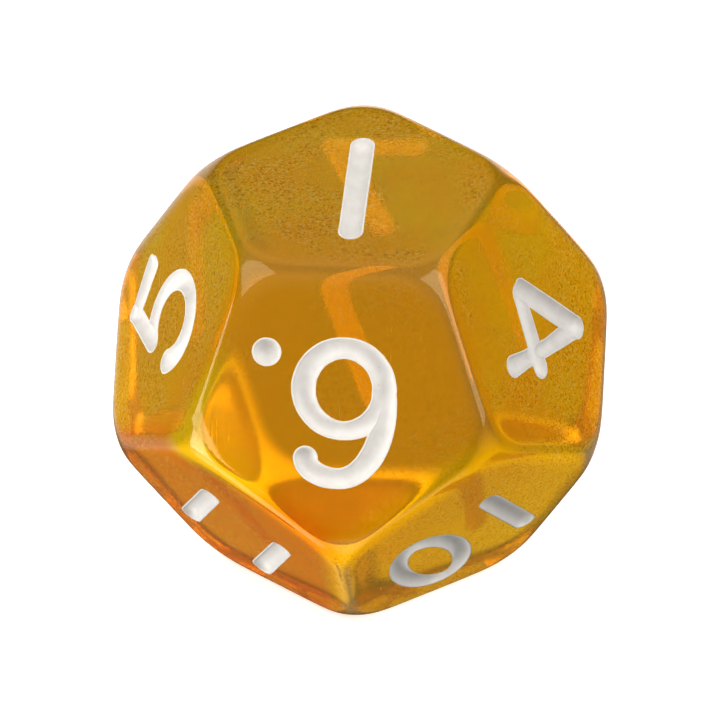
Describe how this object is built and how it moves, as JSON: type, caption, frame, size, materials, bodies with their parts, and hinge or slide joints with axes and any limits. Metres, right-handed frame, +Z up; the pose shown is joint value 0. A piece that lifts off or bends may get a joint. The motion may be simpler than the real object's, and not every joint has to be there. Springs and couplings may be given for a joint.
{
  "type": "polyhedral die",
  "caption": "Clear amber twelve-sided die with rounded edges and engraved, white-filled numerals on its pentagonal faces.",
  "frame": {"origin": "middle of the face numbered 12, which the die rests on", "axes": "+Z up, out of the face numbered 1; the face numbered 6 leans towards -Y; +X to the right of it"},
  "size_m": [0.0208, 0.0214, 0.018],
  "materials": {
    "amber_plastic": "polished",
    "white_paint": "satin"
  },
  "bodies": {
    "root": {"body": "amber_plastic", "paint_1": "white_paint", "paint_2": "white_paint", "paint_3": "white_paint", "paint_4": "white_paint", "paint_5": "white_paint", "paint_6": "white_paint", "paint_6_point": "white_paint", "paint_7": "white_paint", "paint_8": "white_paint", "paint_9": "white_paint", "paint_9_point": "white_paint", "paint_10_one": "white_paint", "paint_10_zero": "white_paint", "paint_11_left": "white_paint", "paint_11_right": "white_paint", "paint_12_one": "white_paint", "paint_12_two": "white_paint"}
  },
  "joints": []
}
